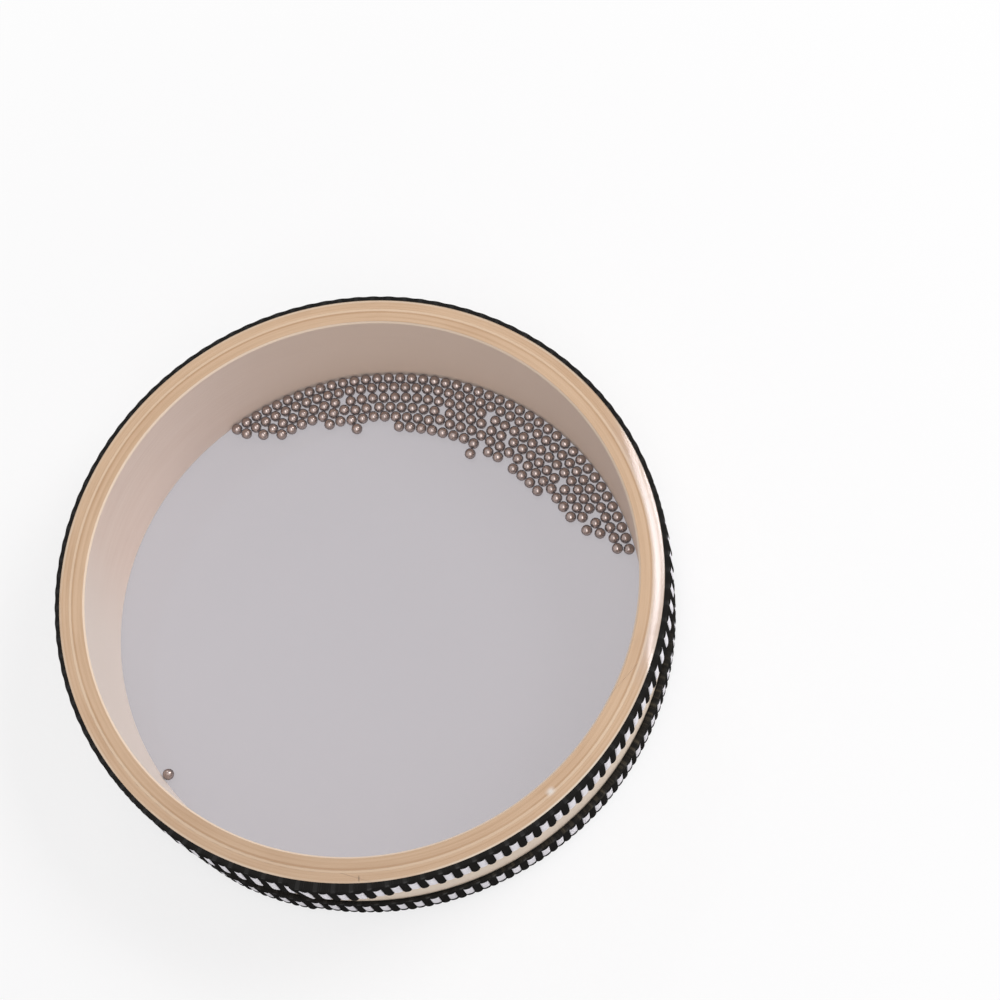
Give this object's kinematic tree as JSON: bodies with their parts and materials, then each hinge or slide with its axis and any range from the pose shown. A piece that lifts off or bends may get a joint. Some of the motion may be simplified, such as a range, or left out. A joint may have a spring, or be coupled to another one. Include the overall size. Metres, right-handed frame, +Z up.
{
  "type": "ocean drum",
  "caption": "Shallow round ocean drum: a bent-ply hoop closed on both faces by clear film heads and edged with black and white ribbon, with loose steel balls that roll inside like surf.",
  "frame": {"origin": "centre of the lower head's outer face, which the drum lies on", "axes": "+Z up along the hoop's axis, +Y towards the place where the balls are gathered"},
  "size_m": [0.2034, 0.2043, 0.045],
  "materials": {
    "ply_wood": "sanded, clear sealed",
    "core_wood": "pale end grain veneer",
    "clear_film": "clear polished polyester film",
    "black_tape": "woven ribbon, satin",
    "white_yarn": "raised woven bars",
    "ball_steel": "polished, slightly oily"
  },
  "bodies": {
    "drum": {"hoop_outer_ply": "ply_wood", "hoop_middle_ply": "core_wood", "hoop_inner_ply": "ply_wood", "upper_head": "clear_film", "lower_head": "clear_film", "upper_ribbon": "black_tape", "upper_ribbon_white_bars": "white_yarn", "lower_ribbon": "black_tape", "lower_ribbon_white_bars": "white_yarn"},
    "wall_balls": {"ball_row_1": "ball_steel"},
    "wave_2": {"ball_row_2": "ball_steel"},
    "wave_3": {"ball_row_3": "ball_steel"},
    "wave_4": {"ball_row_4": "ball_steel"},
    "wave_5": {"ball_row_5": "ball_steel"},
    "wave_6": {"ball_row_6": "ball_steel"},
    "stray": {"stray_ball": "ball_steel"}
  },
  "joints": [
    {"name": "swing_round_rim", "type": "hinge", "parent": "drum", "child": "wall_balls", "pos_m": [0, 0, 0.0024], "axis": [0, 0, 1], "continuous": true},
    {"name": "wave_roll", "type": "slide", "parent": "wall_balls", "child": "wave_2", "axis": [0, -1, 0], "range_m": [0, 0.09]},
    {"name": "wave_roll_3", "type": "slide", "parent": "wall_balls", "child": "wave_3", "axis": [0, -1, 0], "range_m": [0, 0.1008]},
    {"name": "wave_roll_4", "type": "slide", "parent": "wall_balls", "child": "wave_4", "axis": [0, -1, 0], "range_m": [0, 0.1098]},
    {"name": "wave_roll_5", "type": "slide", "parent": "wall_balls", "child": "wave_5", "axis": [0, -1, 0], "range_m": [0, 0.1206]},
    {"name": "wave_roll_6", "type": "slide", "parent": "wall_balls", "child": "wave_6", "axis": [0, -1, 0], "range_m": [0, 0.1314]},
    {"name": "stray_roll", "type": "hinge", "parent": "wall_balls", "child": "stray", "pos_m": [0, 0, 0.0024], "axis": [0, 0, 1], "range_deg": [-80, 145]}
  ],
  "couplings": [
    {"joint": "wave_roll_3", "follows": "wave_roll", "ratio": 1.12},
    {"joint": "wave_roll_4", "follows": "wave_roll", "ratio": 1.22},
    {"joint": "wave_roll_5", "follows": "wave_roll", "ratio": 1.34},
    {"joint": "wave_roll_6", "follows": "wave_roll", "ratio": 1.46}
  ]
}
